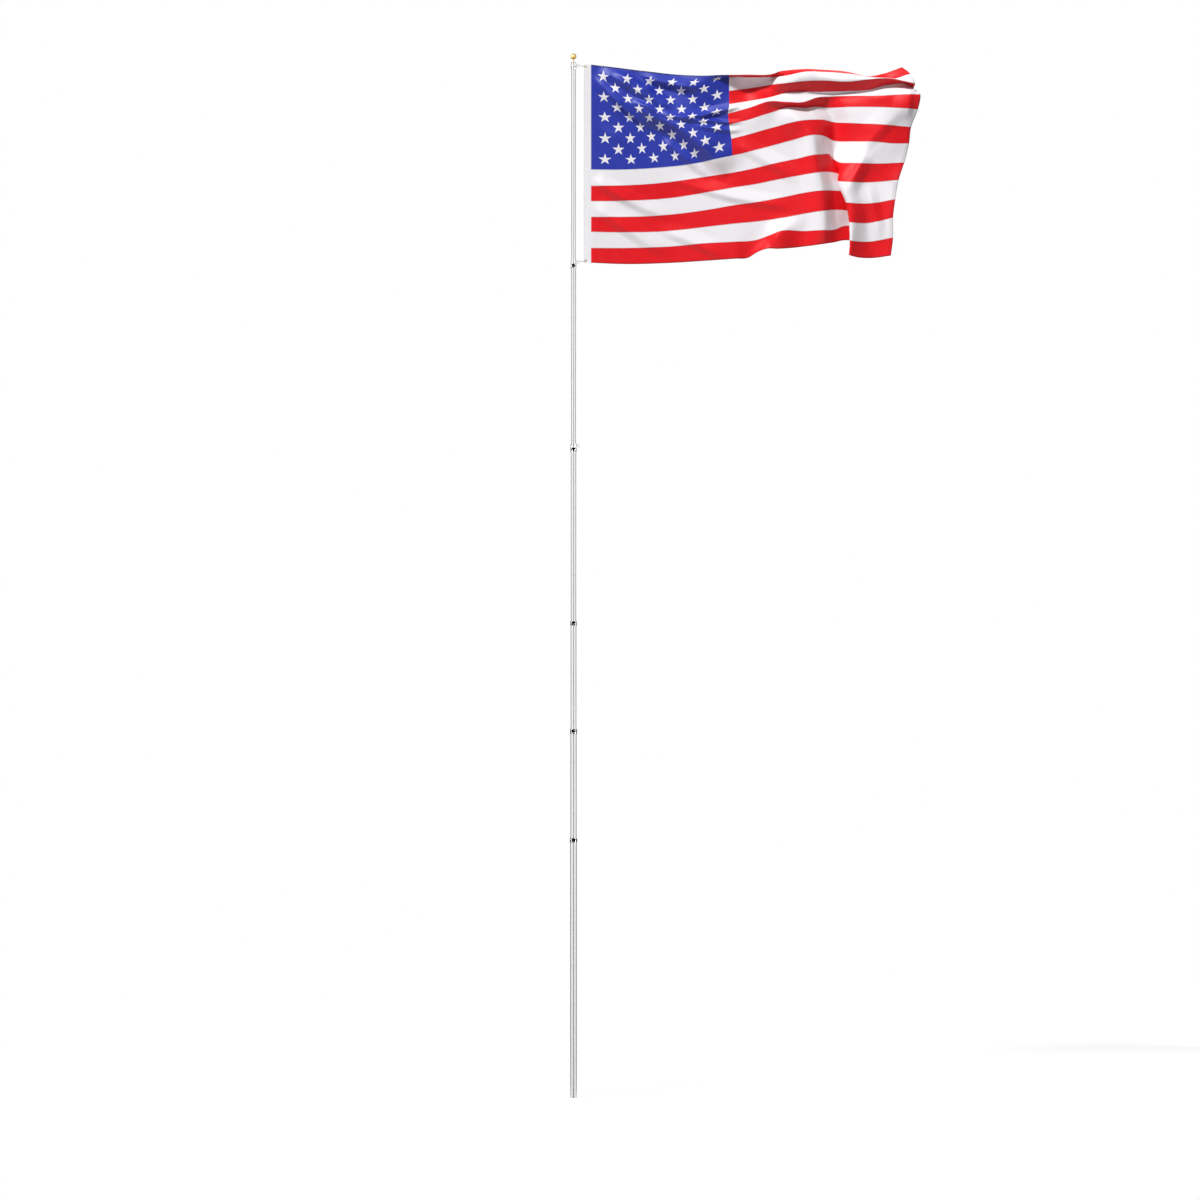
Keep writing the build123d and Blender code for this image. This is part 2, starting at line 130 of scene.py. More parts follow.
# How the cloth flies: each stripe's upper edge, from the top down, and last the bottom edge. A point is
# (share of the fly, metres right, metres away, metres down) from the cloth's upper corner at the hoist.
SEAM_LINES = [
    [
        (0, 0.00, 0, 0.000), (0.115, 0.38, 0.01, 0.046), (0.235, 0.75, 0.02, 0.088),
        (0.31, 0.97, 0.005, 0.099), (0.4, 1.21, -0.01, 0.095), (0.47, 1.38, -0.04, 0.095),
        (0.54, 1.56, -0.05, 0.095), (0.6, 1.70, -0.01, 0.054), (0.66, 1.86, 0.03, 0.036),
        (0.74, 2.03, 0.075, 0.038), (0.82, 2.25, 0.08, 0.057), (0.88, 2.43, 0.08, 0.095),
        (0.93, 2.56, 0.075, 0.075), (1, 2.72, 0.06, 0.020),
    ],
    [
        (0, 0.00, 0, 0.131), (0.0667, 0.21, 0.01, 0.159), (0.2, 0.60, 0.025, 0.184),
        (0.333, 0.99, 0, 0.172), (0.4, 1.21, 0.01, 0.111), (0.47, 1.38, 0.01, 0.111),
        (0.54, 1.56, -0.01, 0.113), (0.6, 1.71, -0.05, 0.099), (0.66, 1.86, -0.04, 0.069),
        (0.74, 2.03, -0.01, 0.065), (0.82, 2.25, -0.01, 0.081), (0.88, 2.43, 0.01, 0.107),
        (0.935, 2.62, 0.03, 0.123), (1, 2.79, -0.02, 0.083),
    ],
    [
        (0, 0.00, 0, 0.262), (0.0667, 0.22, 0.01, 0.283), (0.2, 0.60, 0.03, 0.301),
        (0.333, 0.99, 0.01, 0.278), (0.4, 1.21, 0.03, 0.230), (0.47, 1.38, 0.06, 0.204),
        (0.54, 1.56, 0.01, 0.180), (0.6, 1.71, -0.09, 0.169), (0.66, 1.86, -0.06, 0.149),
        (0.74, 2.03, -0.04, 0.141), (0.82, 2.25, -0.05, 0.151), (0.88, 2.43, -0.05, 0.133),
        (0.935, 2.62, -0.05, 0.127), (0.965, 2.72, -0.06, 0.147), (1, 2.83, -0.07, 0.170),
    ],
    [
        (0, 0.00, 0, 0.393), (0.0667, 0.23, 0.01, 0.402), (0.2, 0.60, 0.03, 0.420),
        (0.333, 0.99, 0.02, 0.398), (0.4, 1.21, 0.02, 0.347), (0.47, 1.38, 0.03, 0.317),
        (0.54, 1.56, -0.01, 0.289), (0.6, 1.71, -0.04, 0.250), (0.66, 1.86, -0.01, 0.240),
        (0.74, 2.03, 0.04, 0.236), (0.82, 2.25, 0.03, 0.230), (0.88, 2.43, 0.02, 0.222),
        (0.935, 2.60, 0.01, 0.178), (0.965, 2.72, 0.01, 0.165), (1, 2.83, 0.02, 0.204),
    ],
    [
        (0, 0.00, 0, 0.525), (0.0667, 0.24, 0.01, 0.525), (0.2, 0.60, 0.03, 0.519),
        (0.333, 0.98, 0.02, 0.482), (0.4, 1.20, 0.01, 0.428), (0.47, 1.38, 0, 0.379),
        (0.54, 1.56, -0.06, 0.329), (0.6, 1.71, -0.09, 0.335), (0.66, 1.86, -0.06, 0.333),
        (0.7, 1.97, 0, 0.293), (0.75, 2.09, 0.05, 0.278), (0.82, 2.29, 0.02, 0.274),
        (0.9, 2.55, -0.04, 0.276), (0.95, 2.70, -0.03, 0.266), (1, 2.88, -0.05, 0.264),
    ],
    [
        (0, 0.00, 0, 0.656), (0.0667, 0.24, 0.01, 0.662), (0.2, 0.62, 0.03, 0.632),
        (0.333, 0.99, 0.02, 0.597), (0.4, 1.21, 0.01, 0.525), (0.47, 1.38, -0.01, 0.482),
        (0.54, 1.56, -0.04, 0.426), (0.6, 1.72, -0.05, 0.379), (0.66, 1.88, -0.01, 0.379),
        (0.7, 1.96, 0.02, 0.367), (0.75, 2.09, 0.05, 0.371), (0.82, 2.29, 0, 0.369),
        (0.9, 2.55, -0.05, 0.375), (0.95, 2.70, -0.05, 0.383), (1, 2.86, -0.02, 0.393),
    ],
    [
        (0, 0.00, 0, 0.787), (0.0667, 0.24, 0.01, 0.797), (0.2, 0.64, 0.03, 0.769),
        (0.333, 1.00, 0.02, 0.722), (0.4, 1.23, 0.02, 0.650), (0.47, 1.38, 0, 0.611),
        (0.54, 1.56, -0.02, 0.561), (0.63, 1.82, -0.065, 0.500), (0.67, 1.93, -0.035, 0.486),
        (0.71, 2.03, 0.005, 0.482), (0.755, 2.13, 0.05, 0.498), (0.82, 2.29, 0, 0.513),
        (0.9, 2.51, -0.05, 0.527), (0.95, 2.65, -0.04, 0.537), (1, 2.80, 0, 0.547),
    ],
    [
        (0, 0.00, 0, 0.918), (0.0667, 0.24, 0.01, 0.918), (0.2, 0.66, 0.03, 0.894),
        (0.333, 1.00, 0.03, 0.846), (0.4, 1.24, 0.02, 0.795), (0.47, 1.38, 0.01, 0.763),
        (0.54, 1.56, -0.01, 0.716), (0.61, 1.76, -0.04, 0.664), (0.67, 1.93, -0.07, 0.624),
        (0.71, 2.03, -0.02, 0.624), (0.755, 2.13, 0.045, 0.660), (0.82, 2.29, 0.01, 0.672),
        (0.9, 2.50, -0.05, 0.680), (0.95, 2.64, -0.04, 0.692), (1, 2.78, -0.01, 0.690),
    ],
    [
        (0, 0.00, 0, 1.063), (0.0667, 0.24, 0.01, 1.059), (0.2, 0.65, 0.03, 1.031),
        (0.333, 1.05, 0.04, 0.973), (0.4, 1.25, 0.02, 0.944), (0.47, 1.41, 0.01, 0.912),
        (0.54, 1.60, -0.01, 0.868), (0.62, 1.83, -0.045, 0.821), (0.663, 1.94, -0.075, 0.799),
        (0.695, 2.02, -0.035, 0.789), (0.73, 2.08, 0, 0.785), (0.765, 2.12, 0.05, 0.819),
        (0.8, 2.17, 0.02, 0.852), (0.86, 2.30, -0.06, 0.866), (0.93, 2.52, -0.04, 0.870),
        (1, 2.74, -0.02, 0.858),
    ],
    [
        (0, 0.00, 0, 1.195), (0.0667, 0.24, 0.015, 1.193), (0.2, 0.65, 0.035, 1.170),
        (0.333, 1.05, 0.03, 1.110), (0.4, 1.25, 0.02, 1.074), (0.47, 1.44, 0.01, 1.045),
        (0.54, 1.63, -0.01, 1.007), (0.62, 1.86, -0.05, 0.967), (0.66, 1.97, -0.08, 0.952),
        (0.7, 2.07, -0.02, 0.940), (0.745, 2.17, 0.045, 0.954), (0.775, 2.21, 0.08, 0.977),
        (0.805, 2.18, 0.03, 1.003), (0.835, 2.16, -0.04, 1.021), (0.87, 2.23, -0.09, 1.031),
        (0.93, 2.43, -0.04, 1.033), (1, 2.69, -0.05, 1.013),
    ],
    [
        (0, 0.00, 0, 1.334), (0.0667, 0.24, 0.015, 1.334), (0.2, 0.65, 0.035, 1.316),
        (0.333, 1.05, 0.03, 1.265), (0.4, 1.26, 0.02, 1.229), (0.47, 1.46, 0.01, 1.203),
        (0.54, 1.66, -0.01, 1.166), (0.62, 1.89, -0.05, 1.122), (0.665, 2.01, -0.08, 1.110),
        (0.7, 2.11, -0.02, 1.104), (0.745, 2.25, 0.06, 1.114), (0.775, 2.34, 0.09, 1.144),
        (0.805, 2.30, 0.03, 1.180), (0.835, 2.23, -0.04, 1.207), (0.87, 2.26, -0.11, 1.217),
        (0.93, 2.44, -0.04, 1.219), (1, 2.66, -0.06, 1.182),
    ],
    [
        (0, 0.00, 0, 1.463), (0.0667, 0.24, 0.015, 1.467), (0.2, 0.65, 0.035, 1.457),
        (0.333, 1.05, 0.03, 1.413), (0.4, 1.26, 0.02, 1.390), (0.47, 1.47, 0.01, 1.370),
        (0.54, 1.67, -0.01, 1.342), (0.62, 1.90, -0.05, 1.302), (0.668, 2.03, -0.08, 1.285),
        (0.7, 2.12, -0.03, 1.273), (0.745, 2.27, 0.05, 1.279), (0.777, 2.37, 0.09, 1.310),
        (0.808, 2.34, 0.02, 1.350), (0.84, 2.26, -0.04, 1.376), (0.87, 2.27, -0.11, 1.386),
        (0.93, 2.43, -0.03, 1.388), (1, 2.64, -0.06, 1.344),
    ],
    [
        (0, 0.00, 0, 1.606), (0.0667, 0.24, 0.015, 1.606), (0.2, 0.65, 0.035, 1.594),
        (0.333, 1.05, 0.03, 1.560), (0.4, 1.26, 0.02, 1.550), (0.46, 1.44, 0.02, 1.536),
        (0.5, 1.56, -0.01, 1.497), (0.53, 1.64, -0.05, 1.465), (0.62, 1.88, -0.025, 1.459),
        (0.67, 2.03, -0.07, 1.455), (0.7, 2.12, -0.03, 1.451), (0.735, 2.23, 0.04, 1.408),
        (0.777, 2.40, 0.08, 1.433), (0.81, 2.36, 0.02, 1.497), (0.843, 2.27, -0.05, 1.534),
        (0.87, 2.27, -0.1, 1.546), (0.93, 2.43, -0.02, 1.552), (1, 2.64, -0.05, 1.517),
    ],
    [
        (0, 0.00, 0, 1.735), (0.0667, 0.24, 0.015, 1.745), (0.2, 0.65, 0.035, 1.737),
        (0.333, 1.05, 0.03, 1.713), (0.4, 1.26, 0.02, 1.699), (0.44, 1.37, 0.035, 1.691),
        (0.475, 1.46, 0, 1.639), (0.505, 1.54, -0.04, 1.614), (0.54, 1.64, -0.04, 1.616),
        (0.62, 1.88, -0.02, 1.592), (0.67, 2.02, -0.06, 1.574), (0.7, 2.11, -0.03, 1.558),
        (0.745, 2.26, 0.04, 1.536), (0.78, 2.43, 0.08, 1.572), (0.815, 2.39, 0.01, 1.616),
        (0.845, 2.28, -0.05, 1.651), (0.87, 2.26, -0.09, 1.671), (0.9, 2.33, -0.06, 1.691),
        (0.94, 2.45, -0.01, 1.695), (1, 2.62, -0.04, 1.675),
    ],
]

# The folds on top of that, as they are seen from the front: the crest's points as (metres right, metres down,
# height), towards the viewer where the height is positive, then the width of the left and of the right flank
FOLDS = [
    (
        ((0.01, 0.05, 0), (0.27, 0.31, 0.06), (0.54, 0.45, 0.11), (0.76, 0.55, 0.12), (0.95, 0.70, 0.11),
         (1.08, 0.82, 0.08), (1.22, 0.99, 0)),
        0.28, 0.11,
    ),
    (
        ((0.05, 0.05, 0), (0.17, 0.10, 0.04), (0.29, 0.16, 0.065), (0.43, 0.24, 0.07), (0.61, 0.34, 0.045),
         (0.72, 0.42, 0)),
        0.09, 0.06,
    ),
    (
        ((0.15, 0.05, 0), (0.31, 0.12, 0.038), (0.46, 0.21, 0.038), (0.56, 0.27, 0)),
        0.07, 0.035,
    ),
    (
        ((0.36, 0.07, 0), (0.60, 0.15, 0.06), (0.80, 0.19, 0.055), (1.00, 0.21, 0)),
        0.09, 0.06,
    ),
    (
        ((0.02, 0.10, 0), (0.10, 0.20, 0.028), (0.21, 0.32, 0.038), (0.39, 0.48, 0.038), (0.58, 0.63, 0)),
        0.06, 0.028,
    ),
    (
        ((0.34, 0.32, 0), (0.48, 0.37, 0.035), (0.62, 0.45, 0)),
        0.05, 0.028,
    ),
    (
        ((0.03, 0.14, 0), (0.09, 0.25, 0.016), (0.20, 0.40, 0.02), (0.32, 0.52, 0)),
        0.035, 0.02,
    ),
    (
        ((0.55, 0.42, 0), (0.71, 0.46, 0.028), (0.85, 0.465, 0.04), (0.97, 0.45, 0.042),
         (1.07, 0.42, 0.042), (1.21, 0.39, 0.028), (1.35, 0.35, 0)),
        0.06, 0.028,
    ),
    (
        ((0.70, 0.475, 0), (0.87, 0.49, 0.026), (1.01, 0.495, 0.03), (1.22, 0.51, 0.02), (1.35, 0.50, 0)),
        0.03, 0.026,
    ),
    (
        ((0.88, 0.53, 0), (1.05, 0.56, 0.026), (1.22, 0.58, 0.02), (1.35, 0.57, 0)),
        0.045, 0.03,
    ),
    (
        ((0.62, 0.64, 0), (0.70, 0.72, 0.03), (0.81, 0.81, 0.036), (0.95, 0.92, 0.018), (1.05, 1.0, 0)),
        0.08, 0.045,
    ),
    (
        ((0.02, 0.52, 0), (0.21, 0.64, 0.016), (0.36, 0.80, 0)),
        0.08, 0.045,
    ),
    (
        ((1.68, 0.06, 0), (1.62, 0.17, 0.04), (1.575, 0.25, 0.04), (1.52, 0.36, 0)),
        0.11, 0.22,
    ),
    (
        ((1.66, 0.34, 0), (1.76, 0.44, 0.03), (1.87, 0.54, 0.04), (1.94, 0.65, 0.045),
         (1.955, 0.81, 0.045), (1.975, 0.96, 0.045), (2.01, 1.10, 0.045), (2.04, 1.45, 0.04),
         (2.05, 1.65, 0)),
        0.11, 0.16,
    ),
    (
        ((2.00, 0.28, 0), (2.08, 0.40, -0.04), (2.135, 0.51, -0.045), (2.14, 0.65, -0.045),
         (2.16, 0.80, -0.03), (2.19, 0.92, 0)),
        0.14, 0.13,
    ),
    (
        ((2.72, 0.40, 0), (2.58, 0.535, 0.022), (2.445, 0.66, 0.022), (2.28, 0.82, 0)),
        0.07, 0.16,
    ),
    (
        ((2.80, 0.17, 0), (2.79, 0.25, 0.03), (2.78, 0.37, 0.03), (2.76, 0.50, 0)),
        0.05, 0.15,
    ),
    (
        ((2.43, 0.70, 0), (2.365, 0.86, 0.028), (2.29, 1.02, 0.028), (2.20, 1.20, 0)),
        0.09, 0.05,
    ),
    (
        ((2.36, 0.76, 0), (2.475, 0.87, 0.014), (2.59, 0.98, 0.014), (2.70, 1.10, 0)),
        0.05, 0.04,
    ),
    (
        ((2.41, 1.00, 0), (2.465, 1.215, 0.030), (2.505, 1.38, 0.030), (2.54, 1.60, 0)),
        0.07, 0.10,
    ),
    (
        ((1.56, 1.36, 0), (1.60, 1.50, 0.025), (1.66, 1.605, 0.025), (1.70, 1.70, 0)),
        0.16, 0.07,
    ),
    (
        ((0.01, 0.98, 0), (0.10, 1.06, 0.025), (0.26, 1.16, 0.036), (0.46, 1.26, 0.024), (0.80, 1.38, 0)),
        0.11, 0.055,
    ),
    (
        ((0.01, 1.20, 0), (0.12, 1.31, 0.025), (0.28, 1.43, 0.036), (0.48, 1.56, 0.024), (0.72, 1.70, 0)),
        0.13, 0.06,
    ),
    (
        ((0.62, 0.98, 0), (0.90, 1.07, 0.020), (1.22, 1.16, 0.025), (1.52, 1.22, 0.020), (1.82, 1.26, 0)),
        0.11, 0.05,
    ),
    (
        ((0.55, 1.42, 0), (0.80, 1.52, 0.024), (1.02, 1.62, 0.024), (1.22, 1.72, 0)),
        0.12, 0.055,
    ),
    (
        ((1.20, 0.66, 0), (1.42, 0.78, 0.022), (1.62, 0.90, 0.026), (1.84, 1.06, 0)),
        0.12, 0.06,
    ),
]

# How round a fold is at its crest and at its foot, as a share of its width
FOLD_CREST = 0.07
FOLD_FOOT = 0.05

# The cloth keeps near a plane just in front of the hoist: it moves freely up to the first distance from it,
# then gives way smoothly, and never passes the second
DEPTH_MIDDLE = -0.009
DEPTH_FREE = 0.085
DEPTH_MOST = 0.108

# How finely the cloth is relaxed, level by level: (columns, rows, rounds), and then drawn: (columns, rows)
RELAX_LEVELS = [(61, 34, 300), (121, 67, 60)]
FINE_GRID = (289, 153)
# How strongly it keeps to the seam lines meanwhile: right, away, down
KEEP_TO_SEAMS = np.array([0.12, 0.03, 0.25])
# How much of a longer and of a shorter thread's error each round takes away, and how much it evens out
STRETCH_MENDED = 0.9
SQUEEZE_MENDED = 0.3
EVENED_OUT = 0.10

# The lights: a key in front on the left, and a back light that reaches only the flag and its header
WORLD_LIGHT = 0.20
SUN_ANGLE = 6.0
KEY_STRENGTH = 3.5
KEY_FROM = (-0.40, -0.60, 0.74)
BACK_STRENGTH = 2.6
BACK_FROM = (0.40, 0.75, 0.53)

# The floor, and how pale it shows itself
FLOOR_RADIUS = 9.0
FLOOR_SIDES = 64
FLOOR_TONE = (0.09, 0.09, 0.09)
FLOOR_GLOW = 0.92

# Cards that only metal and plastic mirror, level 1 being white. The wings are dark to all but bright pieces
SIDE_CARD = {"x": 4.0, "y": (0.3, 18.0), "z": (-1.0, 12.0), "level": 0.25}
FRONT_CARD = {"x": 4.2, "y": -16.0, "z": (-1.0, 10.5), "level": 0.10}
FRONT_WING = {"x": 30.0, "y": -16.0, "z": (-1.0, 12.5), "level": 1.0}
FLOOR_CARD = {"x": 15.0, "y": (-16.0, 0.3, 18.0), "z": 0.0004, "levels": (0.78, 0.28)}
WEDGE_TIP = 0.01
TOP_CARD = {"x": 8.0, "y": (0.3, 18.0), "z": 14.0, "level": 0.20}

# Softboxes that show only as highlights, round a point at this height: degrees from the front and up,
# width and height in metres, radiance
SOFTBOX_DISTANCE = 12.0
SOFTBOX_HEIGHT = 6.0
SIDE_SOFTBOX = {"azimuth": 64, "elevation": 0, "size": (5.0, 16.0), "radiance": 24.0}
BALL_SOFTBOX = {"azimuth": 58, "elevation": 30, "size": (14.0, 12.0), "radiance": 4.0}


def hermite(at, knots, values):
    """A smooth curve through the values at the knots, read at the places in at. Knots needn't be even."""
    knots = np.asarray(knots, float)
    values = np.asarray(values, float)
    steps = np.diff(knots)
    chords = np.diff(values, axis=0) / steps.reshape(-1, *[1] * (values.ndim - 1))
    slopes = np.empty_like(values)
    slopes[0] = chords[0]
    slopes[-1] = chords[-1]
    weight = (steps[:-1] / (steps[:-1] + steps[1:])).reshape(-1, *[1] * (values.ndim - 1))
    slopes[1:-1] = chords[:-1] * (1 - weight) + chords[1:] * weight
    cell = np.clip(np.searchsorted(knots, at, side="right") - 1, 0, len(knots) - 2)
    shape = (-1, *[1] * (values.ndim - 1))
    step = steps[cell].reshape(shape)
    t = ((at - knots[cell]) / steps[cell]).reshape(shape)
    return (
        values[cell] * (1 + 2 * t) * (1 - t) ** 2
        + slopes[cell] * step * t * (1 - t) ** 2
        + values[cell + 1] * t * t * (3 - 2 * t)
        + slopes[cell + 1] * step * t * t * (t - 1)
    )


def seam_surface(columns, rows):
    """Where the seam lines put the cloth: an array rows x columns of (right, away, down)."""
    across = np.linspace(0, 1, columns)
    seams = []
    for line in SEAM_LINES:
        line = np.array(line)
        seams.append(hermite(across, line[:, 0], line[:, 1:]))
    down = np.linspace(0, STRIPE_COUNT, rows)
    return hermite(down, np.arange(STRIPE_COUNT + 1), np.array(seams))


def fold_flank(share):
    """A flank's height, 1 at the crest and 0 at the foot, by the share of its width from the crest."""
    straight = math.sqrt(1 + FOLD_CREST**2) - np.sqrt(share**2 + FOLD_CREST**2)
    straight = np.maximum(straight, 0)
    return straight**2 / (straight + FOLD_FOOT) * (1 + FOLD_FOOT)


def fold_height(right, down):
    """How far the folds bring the cloth towards the viewer, at points as seen from the front."""
    total = np.zeros_like(right)
    for crest, left_width, right_width in FOLDS:
        nearest = np.full_like(right, np.inf)
        height = np.zeros_like(right)
        for (x1, z1, h1), (x2, z2, h2) in zip(crest, crest[1:]):
            length = math.hypot(x2 - x1, z2 - z1)
            along = ((x2 - x1) / length, (z2 - z1) / length)
            s = np.clip(((right - x1) * along[0] + (down - z1) * along[1]) / length, 0, 1)
            away_x = right - x1 - s * (x2 - x1)
            away_z = down - z1 - s * (z2 - z1)
            distance = np.hypot(away_x, away_z)
            side = away_x * along[1] - away_z * along[0]
            width = np.where(side > 0, left_width, right_width)
            here = (h1 + (h2 - h1) * s * s * (3 - 2 * s)) * fold_flank(distance / width)
            closer = distance < nearest
            height = np.where(closer, here, height)
            nearest = np.where(closer, distance, nearest)
        total += height
    return total


def held_depth(away):
    """Depths kept within the cloth's reach, with a smooth end."""
    soft = DEPTH_MOST - DEPTH_FREE
    depth = away - DEPTH_MIDDLE
    beyond = np.maximum(np.abs(depth) - DEPTH_FREE, 0)
    held = np.minimum(np.abs(depth), DEPTH_FREE) + soft * np.tanh(beyond / soft)
    return DEPTH_MIDDLE + np.sign(depth) * held


def pull_together(p, first, second, rest, stretch, squeeze):
    """Move the ends of one set of threads towards their rest length, half each."""
    run = p[second] - p[first]
    length = np.linalg.norm(run, axis=2)
    share = np.where(length > rest, stretch, squeeze) * (length - rest) / np.maximum(length, 1e-9)
    move = 0.5 * share[..., None] * run
    p[first] += move
    p[second] -= move


def smooth(values, share):
    """Even out a grid of values along both ways, inside its edges."""
    values[1:-1] += share * (values[:-2] + values[2:] - 2 * values[1:-1])
    values[:, 1:-1] += share * (values[:, :-2] + values[:, 2:] - 2 * values[:, 1:-1])


def relax(points, wanted, rounds):
    """Let the cloth take its real lengths, while it keeps to the lines that the photograph shows."""
    rows, columns = points.shape[:2]
    seen = wanted[..., (0, 2)]
    rest_u = np.maximum(CLOTH_FLY / (columns - 1), np.linalg.norm(np.diff(seen, axis=1), axis=2))
    rest_v = np.maximum(CLOTH_HOIST / (rows - 1), np.linalg.norm(np.diff(seen, axis=0), axis=2))
    sets = []
    for start in (0, 1):
        first, second = slice(start, -1, 2), slice(start + 1, None, 2)
        sets.append(((slice(None), first), (slice(None), second), rest_u[:, start::2]))
        sets.append(((first, slice(None)), (second, slice(None)), rest_v[start::2, :]))
    hold = points[:, 0].copy()
    for _ in range(rounds):
        points += (wanted - points) * KEEP_TO_SEAMS
        for first, second, rest in sets:
            rest = rest[: points[second].shape[0], : points[second].shape[1]]
            pull_together(points, first, second, rest, STRETCH_MENDED, SQUEEZE_MENDED)
        shift = points - wanted
        smooth(shift, EVENED_OUT)
        points = wanted + shift
        points[:, 0] = hold
    return points


def refine(grid, columns, rows):
    """The grid's points at a finer spacing, along smooth curves."""
    old_rows, old_columns = grid.shape[:2]
    wide = hermite(np.linspace(0, 1, columns), np.linspace(0, 1, old_columns), grid.transpose(1, 0, 2))
    return hermite(np.linspace(0, 1, rows), np.linspace(0, 1, old_rows), wide.transpose(1, 0, 2))


def flown_cloth():
    """The cloth's points, rows x columns, as (right, away, down) from its upper corner at the hoist."""
    points = None
    for columns, rows, rounds in RELAX_LEVELS:
        wanted = seam_surface(columns, rows)
        points = wanted.copy() if points is None else refine(points, columns, rows)
        points = relax(points, wanted, rounds)
    columns, rows = FINE_GRID
    shift = points - wanted
    points = seam_surface(columns, rows) + refine(shift, columns, rows)
    points[..., 1] = held_depth(points[..., 1] - fold_height(points[..., 0], points[..., 2]))
    return points


def new_material(name):
    """A node material and its shader."""
    material = bpy.data.materials.new(name)
    material.use_nodes = True
    return material, material.node_tree, material.node_tree.nodes["Principled BSDF"]


def add_node(tree, kind, **settings):
    """A new node with these settings."""
    node = tree.nodes.new(kind)
    for key, value in settings.items():
        setattr(node, key, value)
    return node


def math_step(tree, operation, *values):
    """One Math node, fed by numbers or by other nodes' sockets. Gives its output socket."""
    node = add_node(tree, "ShaderNodeMath", operation=operation)
    for socket, value in zip(node.inputs, values):
        if isinstance(value, (int, float)):
            socket.default_value = value
        else:
            tree.links.new(value, socket)
    return node.outputs[0]


def mix_colour(tree, factor, first, second):
    """A Mix node of two colours. Each may be a colour or a socket."""
    node = add_node(tree, "ShaderNodeMix", data_type="RGBA")
    for socket, value in ((node.inputs[0], factor), (node.inputs[6], first), (node.inputs[7], second)):
        if isinstance(value, bpy.types.NodeSocket):
            tree.links.new(value, socket)
        elif isinstance(value, (int, float)):
            socket.default_value = value
        else:
            socket.default_value = (*value, 1)
    return node.outputs[2]


def noise(tree, scale, stretch=(1, 1, 1)):
    """Noise in the piece's own space, stretched along each axis."""
    where = add_node(tree, "ShaderNodeTexCoord")
    mapping = add_node(tree, "ShaderNodeMapping")
    mapping.inputs["Scale"].default_value = stretch
    texture = add_node(tree, "ShaderNodeTexNoise")
    texture.inputs["Scale"].default_value = scale
    texture.inputs["Detail"].default_value = 3.0
    tree.links.new(where.outputs["Object"], mapping.inputs["Vector"])
    tree.links.new(mapping.outputs[0], texture.inputs["Vector"])
    return texture.outputs["Fac"]


def own_place(tree):
    """A point's three coordinates in the piece's own space, as sockets."""
    where = add_node(tree, "ShaderNodeTexCoord")
    split = add_node(tree, "ShaderNodeSeparateXYZ")
    tree.links.new(where.outputs["Object"], split.inputs[0])
    return split.outputs


def spread(tree, value, low, high):
    """A 0 to 1 value, moved to run from low to high."""
    node = add_node(tree, "ShaderNodeMapRange")
    node.inputs["To Min"].default_value = low
    node.inputs["To Max"].default_value = high
    tree.links.new(value, node.inputs["Value"])
    return node.outputs["Result"]


def bump(tree, shader, height, distance, strength):
    """Fine relief on the shader's surface."""
    node = add_node(tree, "ShaderNodeBump")
    node.inputs["Distance"].default_value = distance
    node.inputs["Strength"].default_value = strength
    tree.links.new(height, node.inputs["Height"])
    tree.links.new(node.outputs["Normal"], shader.inputs["Normal"])


def toned_material(name, scale, low, high, rough):
    """A material whose colour and roughness change a little with the same noise. rough is (least, most)."""
    material, tree, shader = new_material(name)
    tone = noise(tree, scale)
    tree.links.new(mix_colour(tree, tone, low, high), shader.inputs["Base Color"])
    tree.links.new(spread(tree, tone, *rough), shader.inputs["Roughness"])
    return material, shader


def aluminium():
    """Drawn tube: satin metal with faint streaks along it."""
    material, tree, shader = new_material("drawn_aluminium")
    streaks = noise(tree, 300.0, (1, 1, 0.01))
    patches = noise(tree, 3.0, (1, 1, 0.3))
    colour = mix_colour(tree, patches, (0.84, 0.84, 0.85), (0.90, 0.90, 0.90))
    shader.inputs["Metallic"].default_value = 1.0
    tree.links.new(colour, shader.inputs["Base Color"])
    tree.links.new(spread(tree, streaks, 0.24, 0.34), shader.inputs["Roughness"])
    bump(tree, shader, streaks, 0.00005, 0.4)
    return material


def clear_plastic():
    """Clear moulded plastic with a faint grey tint, which shows most in the thick tabs beside the rings."""
    material, tree, shader = new_material("clear_moulding")
    shader.inputs["Transmission Weight"].default_value = 1.0
    shader.inputs["IOR"].default_value = 1.49
    in_tab = math_step(tree, "GREATER_THAN", own_place(tree)[0], TAB_FROM)
    tree.links.new(mix_colour(tree, in_tab, CLEAR_TINT, TAB_TINT), shader.inputs["Base Color"])
    tree.links.new(spread(tree, noise(tree, 40.0), 0.03, 0.10), shader.inputs["Roughness"])
    return material


def black_plastic():
    """Glossy black moulding."""
    tones = (0.004, 0.004, 0.005), (0.009, 0.009, 0.010)
    material, shader = toned_material("black_moulding", 60.0, *tones, (0.12, 0.22))
    shader.inputs["Specular IOR Level"].default_value = 0.2
    return material


def polished_gold():
    """Gold-coloured polished metal."""
    tones = (0.92, 0.55, 0.14), (0.98, 0.66, 0.22)
    material, shader = toned_material("polished_gold", 50.0, *tones, (0.20, 0.28))
    shader.inputs["Metallic"].default_value = 1.0
    return material


def plain_metal(name, low, high, rough):
    """Metal with a small change of tone: wire, sleeves, screws and grommets."""
    material, shader = toned_material(name, 120.0, low, high, (rough - 0.06, rough + 0.06))
    shader.inputs["Metallic"].default_value = 1.0
    return material


def band(tree, value, low, high):
    """1 where a value lies between two others, or else 0."""
    above = math_step(tree, "GREATER_THAN", value, low)
    return math_step(tree, "MULTIPLY", above, math_step(tree, "LESS_THAN", value, high))


